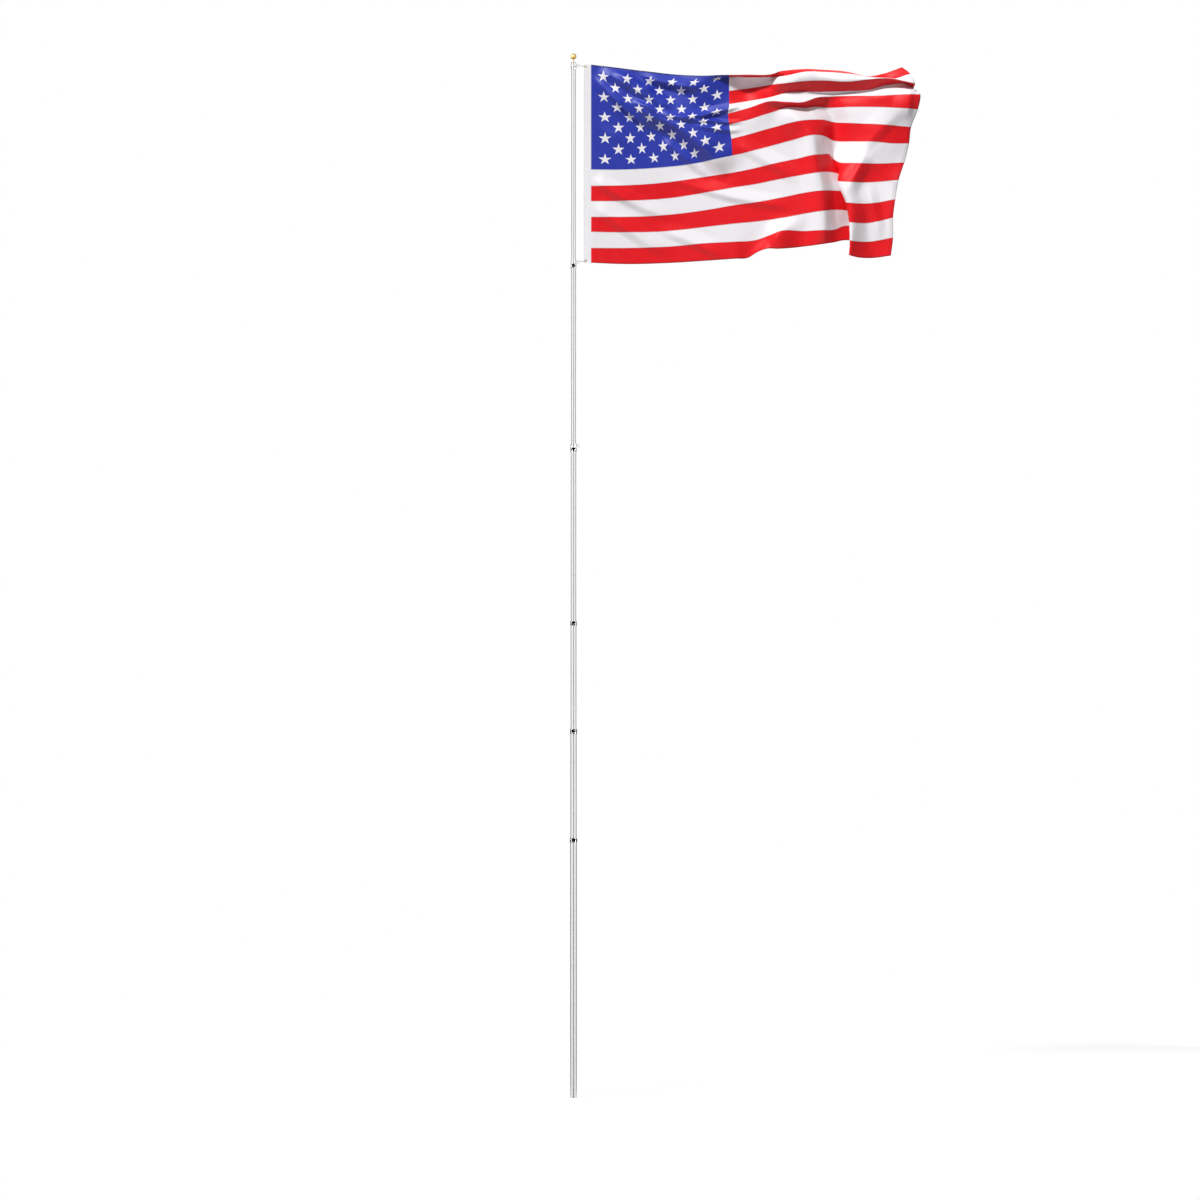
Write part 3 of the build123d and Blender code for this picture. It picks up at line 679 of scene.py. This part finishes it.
def star_mask(tree, right, down):
    """1 on a star, 0 beside it. right and down are shares of the fly and of the hoist, as sockets."""
    step_right = CANTON_SHARE * CLOTH_FLY / (STAR_COLUMNS + 1)
    step_down = CLOTH_HOIST * CANTON_STRIPES / STRIPE_COUNT / (STAR_ROWS + 1)
    a = math_step(tree, "MULTIPLY", right, (STAR_COLUMNS + 1) / CANTON_SHARE)
    b = math_step(tree, "MULTIPLY", down, (STAR_ROWS + 1) * STRIPE_COUNT / CANTON_STRIPES)

    # The nearest star: the stars stand where the column and the row are both odd or both even
    both = math_step(tree, "ADD", a, b)
    apart = math_step(tree, "SUBTRACT", a, b)
    i = math_step(tree, "SNAP", math_step(tree, "ADD", both, 1.0), 2.0)
    j = math_step(tree, "SNAP", math_step(tree, "ADD", apart, 1.0), 2.0)
    middle_a = math_step(tree, "MULTIPLY", math_step(tree, "ADD", i, j), 0.5)
    middle_b = math_step(tree, "MULTIPLY", math_step(tree, "SUBTRACT", i, j), 0.5)
    x = math_step(tree, "MULTIPLY", math_step(tree, "SUBTRACT", a, middle_a), step_right)
    y = math_step(tree, "MULTIPLY", math_step(tree, "SUBTRACT", middle_b, b), step_down)
    squares = math_step(tree, "ADD", math_step(tree, "MULTIPLY", x, x), math_step(tree, "MULTIPLY", y, y))
    radius = math_step(tree, "SQRT", squares)

    # The angle from the nearest tip. An odd number of half points keeps it positive and one point upright
    half_point = math.pi / 5
    turned = math_step(tree, "ADD", math_step(tree, "ARCTAN2", x, y), 11 * half_point)
    past_tip = math_step(tree, "MODULO", turned, 2 * half_point)
    wedge = math_step(tree, "ABSOLUTE", math_step(tree, "SUBTRACT", past_tip, half_point))

    # Inside the straight line from the tip to the notch beside it
    outer = STAR_DIAMETER / 2
    inner = outer * math.sin(math.pi / 10) / math.sin(3 * math.pi / 10)
    along = math_step(tree, "MULTIPLY", radius, math_step(tree, "COSINE", wedge))
    aside = math_step(tree, "MULTIPLY", radius, math_step(tree, "SINE", wedge))
    edge = math_step(
        tree,
        "ADD",
        math_step(tree, "MULTIPLY", along, inner * math.sin(half_point)),
        math_step(tree, "MULTIPLY", aside, outer - inner * math.cos(half_point)),
    )
    mask = math_step(tree, "LESS_THAN", edge, outer * inner * math.sin(half_point))
    for middle, count in ((middle_a, STAR_COLUMNS), (middle_b, STAR_ROWS)):
        mask = math_step(tree, "MULTIPLY", mask, band(tree, middle, 0.5, count + 0.5))
    return mask


def stitches(tree, across, along, rows):
    """1 on the dashes of the stitch rows, which lie at these distances across. All in metres."""
    found = None
    for row in rows:
        line = band(tree, across, row - STITCH_WIDTH / 2, row + STITCH_WIDTH / 2)
        found = line if found is None else math_step(tree, "MAXIMUM", found, line)
    dash = math_step(tree, "MODULO", along, STITCH_LENGTH)
    on_dash = math_step(tree, "LESS_THAN", dash, STITCH_SHARE * STITCH_LENGTH)
    return math_step(tree, "MULTIPLY", found, on_dash)


def woven(tree, across, along, pitch):
    """The height of a plain weave, from -1 to 1, by two distances in metres."""
    turn = 2 * math.pi / pitch
    warp = math_step(tree, "SINE", math_step(tree, "MULTIPLY", across, turn))
    weft = math_step(tree, "SINE", math_step(tree, "MULTIPLY", along, turn))
    return math_step(tree, "MULTIPLY", warp, weft)


def canton_mask(tree, right, down):
    """1 on the canton, 0 on the stripes."""
    return math_step(
        tree,
        "MULTIPLY",
        math_step(tree, "LESS_THAN", right, CANTON_SHARE),
        math_step(tree, "LESS_THAN", down, CANTON_STRIPES / STRIPE_COUNT),
    )


def dyed_colour(tree, right, down, in_canton):
    """The red and white stripes, and the blue canton with its stars."""
    stripe = math_step(tree, "FLOOR", math_step(tree, "MULTIPLY", down, STRIPE_COUNT))
    stripes = mix_colour(tree, math_step(tree, "MODULO", stripe, 2.0), FLAG_RED, FLAG_WHITE)
    canton = mix_colour(tree, star_mask(tree, right, down), FLAG_BLUE, FLAG_WHITE)
    return mix_colour(tree, in_canton, stripes, canton)


def sewing(tree, out, below, in_canton):
    """Masks of the doubled and of the stitched places, by the metres out from the hoist and below the top."""
    to_fly_edge = math_step(tree, "SUBTRACT", CLOTH_FLY, out)
    to_bottom = math_step(tree, "SUBTRACT", CLOTH_HOIST, below)
    to_hem = math_step(tree, "MINIMUM", below, to_bottom)
    stripe_width = CLOTH_HOIST / STRIPE_COUNT
    past_seam = math_step(tree, "MODULO", math_step(tree, "ADD", below, stripe_width / 2), stripe_width)
    to_seam = math_step(tree, "ABSOLUTE", math_step(tree, "SUBTRACT", past_seam, stripe_width / 2))
    inside = math_step(tree, "GREATER_THAN", to_hem, stripe_width / 2)
    on_stripes = math_step(tree, "MULTIPLY", inside, math_step(tree, "SUBTRACT", 1.0, in_canton))
    near_seam = math_step(tree, "LESS_THAN", to_seam, SEAM_WIDTH / 2)
    seam = math_step(tree, "MULTIPLY", on_stripes, near_seam)
    hem = math_step(
        tree,
        "MAXIMUM",
        math_step(tree, "LESS_THAN", to_hem, HEM_WIDTH),
        math_step(tree, "LESS_THAN", to_fly_edge, FLY_HEM_WIDTH),
    )
    doubled = math_step(tree, "MAXIMUM", seam, hem)
    seam_rows = math_step(tree, "MULTIPLY", on_stripes, stitches(tree, to_seam, out, SEAM_STITCH_ROWS))
    hem_rows = stitches(tree, to_hem, out, HEM_STITCH_ROWS)
    fly_rows = stitches(tree, to_fly_edge, below, FLY_STITCH_ROWS)
    sewn = math_step(tree, "MAXIMUM", seam_rows, math_step(tree, "MAXIMUM", hem_rows, fly_rows))
    return doubled, sewn


def flag_cloth():
    """Satin polyester with the sewn stripes, the blue canton and its fifty stars, and a painted shade along
    the canton's top edge.
    """
    material, tree, shader = new_material("flag_polyester")
    where = add_node(tree, "ShaderNodeUVMap", uv_map="cloth")
    split = add_node(tree, "ShaderNodeSeparateXYZ")
    tree.links.new(where.outputs[0], split.inputs[0])
    right, down = split.outputs[0], split.outputs[1]
    out = math_step(tree, "MULTIPLY", right, CLOTH_FLY)
    below = math_step(tree, "MULTIPLY", down, CLOTH_HOIST)
    in_canton = canton_mask(tree, right, down)
    dyed = dyed_colour(tree, right, down, in_canton)
    faded = mix_colour(tree, spread(tree, noise(tree, 14.0), 0.0, FADING), dyed, FLAG_WHITE)
    doubled, sewn = sewing(tree, out, below, in_canton)
    # Painted shade: a nearly black strip along the canton's top edge, standing in for the shadow at the hem
    painted_edge_shade = math_step(tree, "MULTIPLY", in_canton, math_step(tree, "LESS_THAN", below, PAINTED_EDGE_WIDTH))
    shade = math_step(
        tree,
        "ADD",
        math_step(tree, "MULTIPLY", doubled, DOUBLED_SHADE),
        math_step(tree, "MULTIPLY", sewn, SEWN_SHADE),
    )
    shade = math_step(tree, "MAXIMUM", shade, math_step(tree, "MULTIPLY", painted_edge_shade, PAINTED_EDGE_SHADE))
    tree.links.new(mix_colour(tree, shade, faded, SHADE_TONE), shader.inputs["Base Color"])
    tree.links.new(spread(tree, noise(tree, 9.0), *CLOTH_ROUGHNESS), shader.inputs["Roughness"])
    tree.links.new(spread(tree, in_canton, *CLOTH_SHEEN), shader.inputs["Specular IOR Level"])
    weave = math_step(tree, "MULTIPLY", woven(tree, out, below, CLOTH_PITCH), WEAVE_SHARE)
    relief = math_step(tree, "ADD", math_step(tree, "SUBTRACT", doubled, sewn), weave)
    bump(tree, shader, relief, RELIEF_HEIGHT, 0.6)
    return material


def webbing():
    """White canvas with a woven rib and two rows of stitches along each side."""
    material, tree, shader = new_material("webbing")
    right, _, up = own_place(tree)
    across = math_step(tree, "SUBTRACT", right, HEADER_LOW.x)
    width = HEADER_HIGH.x - HEADER_LOW.x
    rows = HEADER_STITCH_ROWS + [width - row for row in HEADER_STITCH_ROWS]
    sewn = stitches(tree, across, up, rows)
    tone = mix_colour(tree, noise(tree, 30.0), *WEBBING_TONES)
    colour = mix_colour(tree, math_step(tree, "MULTIPLY", sewn, THREAD_SHADE), tone, THREAD_TONE)
    tree.links.new(colour, shader.inputs["Base Color"])
    shader.inputs["Roughness"].default_value = 0.75
    rib = woven(tree, across, up, WEBBING_PITCH)
    relief = math_step(tree, "SUBTRACT", math_step(tree, "MULTIPLY", rib, RIB_SHARE), sewn)
    bump(tree, shader, relief, RELIEF_HEIGHT, 0.7)
    return material


def make_object(name, verts, faces, material):
    """A smooth mesh of one material."""
    mesh = bpy.data.meshes.new(name)
    mesh.from_pydata([tuple(v) for v in verts], [], faces)
    mesh.materials.append(material)
    mesh.shade_smooth()
    mesh.update()
    obj = bpy.data.objects.new(name, mesh)
    bpy.context.scene.collection.objects.link(obj)
    return obj


def make_flag():
    """The cloth, with its own map of shares of the fly and of the hoist."""
    points = flown_cloth()
    rows, columns = points.shape[:2]
    verts = np.empty((rows * columns, 3))
    verts[:, 0] = CLOTH_LEFT + points[..., 0].ravel()
    verts[:, 1] = points[..., 1].ravel()
    verts[:, 2] = CLOTH_TOP - points[..., 2].ravel()
    faces = []
    for row in range(rows - 1):
        for column in range(columns - 1):
            corner = row * columns + column
            faces.append((corner, corner + columns, corner + columns + 1, corner + 1))
    flag = make_object("flying_flag", verts, faces, flag_cloth())
    layer = flag.data.uv_layers.new(name="cloth")
    index = np.empty(len(flag.data.loops), np.int32)
    flag.data.loops.foreach_get("vertex_index", index)
    uv = np.stack([(index % columns) / (columns - 1), (index // columns) / (rows - 1)], axis=1)
    layer.data.foreach_set("uv", uv.astype(np.float32).ravel())
    thick = flag.modifiers.new("cloth", "SOLIDIFY")
    thick.thickness = CLOTH_THICKNESS
    thick.offset = 0.0
    return flag


def header_loops():
    """The strip's outline and the hole at each grommet, as closed lines of (x, z)."""
    left, right = HEADER_LOW.x + HEADER_ROUND, HEADER_HIGH.x - HEADER_ROUND
    low, high = HEADER_LOW.z + HEADER_ROUND, HEADER_HIGH.z - HEADER_ROUND
    loops = [[(left, low), (right, low), (right, high), (left, high)]]
    turns = [2 * math.pi * i / GROMMET_SIDES for i in range(GROMMET_SIDES)]
    for grommet in ("upper_grommet", "lower_grommet"):
        corner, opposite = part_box(grommet)
        middle = (corner + opposite) / 2
        loops.append([
            (middle.x + GROMMET_HOLE * math.cos(turn), middle.z + GROMMET_HOLE * math.sin(turn))
            for turn in turns
        ])
    return loops


def make_header():
    """The white canvas header: a strip of webbing with soft edges and a hole at each grommet."""
    outline = bpy.data.curves.new("header_band", "CURVE")
    outline.dimensions = "2D"
    outline.fill_mode = "BOTH"
    outline.bevel_depth = HEADER_ROUND
    outline.bevel_resolution = 2
    outline.extrude = (HEADER_HIGH.y - HEADER_LOW.y) / 2 - HEADER_ROUND
    for loop in header_loops():
        spline = outline.splines.new("POLY")
        spline.points.add(len(loop) - 1)
        for point, (x, z) in zip(spline.points, loop):
            point.co = (x, z, 0, 1)
        spline.use_cyclic_u = True
    drawn = bpy.data.objects.new("header_band", outline)
    bpy.context.scene.collection.objects.link(drawn)
    drawn.rotation_euler = (math.pi / 2, 0, 0)
    bpy.context.view_layer.update()
    mesh = bpy.data.meshes.new_from_object(drawn.evaluated_get(bpy.context.evaluated_depsgraph_get()))
    mesh.transform(drawn.matrix_world)
    bpy.data.objects.remove(drawn)
    mesh.materials.clear()
    mesh.materials.append(webbing())
    header = bpy.data.objects.new("header_band", mesh)
    bpy.context.scene.collection.objects.link(header)
    return header


def slot_of(name):
    """The material slot of a CAD node."""
    return next(part["material_slot"] for part in frame["record"]["subparts"] if part["node"] == name)


def dress_nodes():
    """Each carried-over CAD node takes its slot's material."""
    materials = {
        "aluminium": aluminium(),
        "clear_plastic": clear_plastic(),
        "black_plastic": black_plastic(),
        "gold": polished_gold(),
        "dark_steel": plain_metal("dark_steel", (0.04, 0.04, 0.04), (0.09, 0.09, 0.09), 0.35),
        "bright_steel": plain_metal("bright_steel", (0.55, 0.54, 0.52), (0.75, 0.73, 0.70), 0.25),
        "brass": plain_metal("brass", (0.72, 0.52, 0.22), (0.85, 0.65, 0.32), 0.28),
    }
    for name, obj in nodes.items():
        material = materials.get(slot_of(name))
        if material is None:
            continue
        obj.data.materials.clear()
        obj.data.materials.append(material)


def make_camera():
    """The camera, level and straight in front."""
    data = bpy.data.cameras.new("view")
    data.lens = LENS
    data.sensor_width = SENSOR
    distance = VIEW_WIDTH * LENS / SENSOR
    data.clip_start = 1.0
    data.clip_end = 4 * distance
    camera = bpy.data.objects.new("view", data)
    camera.location = (VIEW_CENTRE[0], -distance, VIEW_CENTRE[1])
    camera.rotation_euler = (math.pi / 2, 0, 0)
    bpy.context.scene.collection.objects.link(camera)
    bpy.context.scene.camera = camera


def seen_mask(tree):
    """1 for what the camera sees, also in a reflection or through clear plastic, and 0 for plain light."""
    path = add_node(tree, "ShaderNodeLightPath")
    seen = math_step(tree, "MAXIMUM", path.outputs["Is Camera Ray"], path.outputs["Is Glossy Ray"])
    return math_step(tree, "MAXIMUM", seen, path.outputs["Is Transmission Ray"])


def make_world():
    """White where the camera, metal and glass see it, and a plain level of light for the rest."""
    world = bpy.data.worlds.new("studio")
    bpy.context.scene.world = world
    world.use_nodes = True
    tree = world.node_tree
    background = tree.nodes["Background"]
    tree.links.new(spread(tree, seen_mask(tree), WORLD_LIGHT, 1.0), background.inputs["Strength"])
    background.inputs["Color"].default_value = (1, 1, 1, 1)


def make_sun(name, strength, toward):
    """A far lamp that stands in the given direction."""
    data = bpy.data.lights.new(name, "SUN")
    data.energy = strength
    data.angle = math.radians(SUN_ANGLE)
    sun = bpy.data.objects.new(name, data)
    sun.rotation_mode = "QUATERNION"
    sun.rotation_quaternion = Vector(toward).to_track_quat("Z", "Y")
    bpy.context.scene.collection.objects.link(sun)
    return sun


def make_floor():
    """A pale floor that shows white but keeps the pole's shadow."""
    turns = [2 * math.pi * i / FLOOR_SIDES for i in range(FLOOR_SIDES)]
    ring = [(FLOOR_RADIUS * math.cos(turn), FLOOR_RADIUS * math.sin(turn), 0) for turn in turns]
    material, tree, shader = new_material("floor")
    shader.inputs["Roughness"].default_value = 0.8
    shader.inputs["Specular IOR Level"].default_value = 0.0
    shader.inputs["Emission Color"].default_value = (1, 1, 1, 1)
    seen = seen_mask(tree)
    tree.links.new(mix_colour(tree, seen, (0.9, 0.9, 0.9), FLOOR_TONE), shader.inputs["Base Color"])
    tree.links.new(spread(tree, seen, 0.0, FLOOR_GLOW), shader.inputs["Emission Strength"])
    floor = make_object("floor", ring, [tuple(range(FLOOR_SIDES))], material)


def link_to(light, pieces):
    """Let a lamp or card light only these pieces. For the rest it is dark."""
    lit = bpy.data.collections.new(light.name)
    for piece in pieces:
        lit.objects.link(piece)
    light.light_linking.receiver_collection = lit


def make_card(name, corners, level):
    """A grey card that only reflections and refractions see: it draws the dark lines of metal and glass."""
    material, tree, shader = new_material(name)
    shader.inputs["Base Color"].default_value = (0, 0, 0, 1)
    shader.inputs["Specular IOR Level"].default_value = 0.0
    shader.inputs["Emission Color"].default_value = (1, 1, 1, 1)
    shader.inputs["Emission Strength"].default_value = level
    card = make_object(name, corners, [(0, 1, 2, 3)], material)
    card.visible_camera = False
    card.visible_diffuse = False
    card.visible_shadow = False
    return card


def upright_card(name, left, right, low, high, y, level):
    """A card that faces the pole from the front."""
    return make_card(name, [(left, y, low), (right, y, low), (right, y, high), (left, y, high)], level)


def level_card(name, reach, near, far, z, level):
    """A card that lies flat, as far to the left as to the right."""
    return make_card(name, [(-reach, near, z), (reach, near, z), (reach, far, z), (-reach, far, z)], level)


def make_cards(bright):
    """The cards beside, before, below and above the pole, and the white wings for the bright pieces."""
    near, far = SIDE_CARD["y"]
    low, high = SIDE_CARD["z"]
    for side, name in ((-1, "card_left"), (1, "card_right")):
        x = side * SIDE_CARD["x"]
        make_card(name, [(x, near, low), (x, far, low), (x, far, high), (x, near, high)], SIDE_CARD["level"])

    reach = FRONT_CARD["x"]
    front = FRONT_CARD["y"]
    upright_card("card_front", -reach, reach, *FRONT_CARD["z"], front, FRONT_CARD["level"])

    # On the floor too, so that the pole's foot mirrors the same bands as the rest of it
    near, middle, far = FLOOR_CARD["y"]
    front_level, back_level = FLOOR_CARD["levels"]
    level_card("card_floor_front", FLOOR_CARD["x"], near, middle, FLOOR_CARD["z"], front_level)
    level_card("card_floor_back", FLOOR_CARD["x"], middle, far, FLOOR_CARD["z"], back_level)
    z = 2 * FLOOR_CARD["z"]
    wedge = [(-WEDGE_TIP, 0, z), (-reach, front, z), (reach, front, z), (WEDGE_TIP, 0, z)]
    make_card("card_floor_wedge", wedge, FRONT_CARD["level"])

    level_card("card_top", TOP_CARD["x"], *TOP_CARD["y"], TOP_CARD["z"], TOP_CARD["level"])
    for side, name in ((-1, "wing_left"), (1, "wing_right")):
        left, right = sorted((side * reach, side * FRONT_WING["x"]))
        wing = upright_card(name, left, right, *FRONT_WING["z"], FRONT_WING["y"], FRONT_WING["level"])
        link_to(wing, bright)


def make_softbox(name, side, box, pieces):
    """A lamp that shows only as a highlight on these pieces, to the left (-1) or right (1) of the front."""
    width, height = box["size"]
    data = bpy.data.lights.new(name, "AREA")
    data.shape = "RECTANGLE"
    data.size = width
    data.size_y = height
    data.energy = box["radiance"] * math.pi * width * height
    azimuth = side * math.radians(box["azimuth"])
    elevation = math.radians(box["elevation"])
    flat = math.cos(elevation)
    toward = Vector((math.sin(azimuth) * flat, -math.cos(azimuth) * flat, math.sin(elevation)))
    lamp = bpy.data.objects.new(name, data)
    lamp.location = Vector((0, 0, SOFTBOX_HEIGHT)) + toward * SOFTBOX_DISTANCE
    lamp.rotation_mode = "QUATERNION"
    lamp.rotation_quaternion = toward.to_track_quat("Z", "Y")
    lamp.visible_camera = False
    lamp.visible_diffuse = False
    lamp.visible_transmission = False
    bpy.context.scene.collection.objects.link(lamp)
    link_to(lamp, pieces)


def is_bright(name):
    """Whether a CAD node mirrors the white wings."""
    metals = ("aluminium", "gold", "bright_steel", "brass")
    return slot_of(name) in metals or name.endswith("_ring") or name == "top_cap"


# The pieces
dress_nodes()
flag = make_flag()
header = make_header()
for piece, node, slot in ((flag, "flag", "flag_cloth"), (header, "flag_header", "webbing")):
    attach(piece, "upper_swivel")
    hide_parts(node)
    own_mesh(piece)

# The stage
make_camera()
make_world()
make_sun("key", KEY_STRENGTH, KEY_FROM)
link_to(make_sun("back_light", BACK_STRENGTH, BACK_FROM), [flag, header])
make_floor()
make_cards([obj for name, obj in nodes.items() if is_bright(name)])
plastics = [obj for name, obj in nodes.items() if slot_of(name) in ("clear_plastic", "black_plastic")]
make_softbox("strip_left", -1, SIDE_SOFTBOX, plastics)
make_softbox("strip_right", 1, SIDE_SOFTBOX, plastics)
make_softbox("ball_softbox", -1, BALL_SOFTBOX, [nodes["finial_ball"]])
